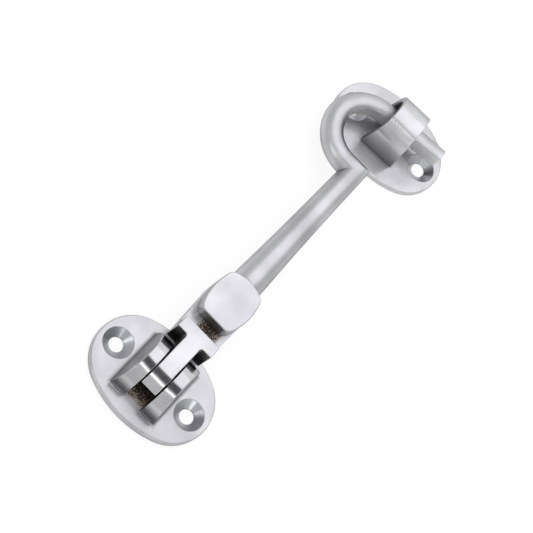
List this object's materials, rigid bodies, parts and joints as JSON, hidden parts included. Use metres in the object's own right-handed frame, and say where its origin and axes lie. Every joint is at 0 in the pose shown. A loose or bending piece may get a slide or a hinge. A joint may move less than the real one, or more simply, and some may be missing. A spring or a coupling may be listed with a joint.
{
  "type": "cabin hook",
  "caption": "Satin chrome cabin hook: a tapered arm hinged both ways on an oval screw plate, its curled end latched through an arched staple on a matching oval plate.",
  "frame": {"origin": "centre of the base plate's back face, on the wall", "axes": "+X from the base along the latched arm to the eye, +Y along the plates' long axis towards the bulge of the hook, +Z away from the wall"},
  "size_m": [0.1385, 0.0399, 0.0178],
  "materials": {
    "satin_chrome": "satin chrome plate on cast brass",
    "pin_steel": "plain drawn steel pin"
  },
  "bodies": {
    "base": {"base_plate": "satin_chrome", "base_pin": "pin_steel"},
    "link": {"link": "satin_chrome"},
    "arm": {"hook_arm": "satin_chrome", "link_pin": "pin_steel"},
    "eye": {"eye_plate": "satin_chrome"}
  },
  "joints": [
    {"name": "lift", "type": "hinge", "parent": "base", "child": "link", "pos_m": [0, 0, 0.0085], "axis": [0, -1, 0], "range_deg": [0, 180]},
    {"name": "swing", "type": "hinge", "parent": "link", "child": "arm", "pos_m": [0.0279, 0, 0.0084], "axis": [0, 0, 1], "range_deg": [-90, 90]},
    {"name": "unhook", "type": "slide", "parent": "arm", "child": "eye", "axis": [0.1392, -0.9903, 0], "range_m": [0, 0.03]}
  ]
}
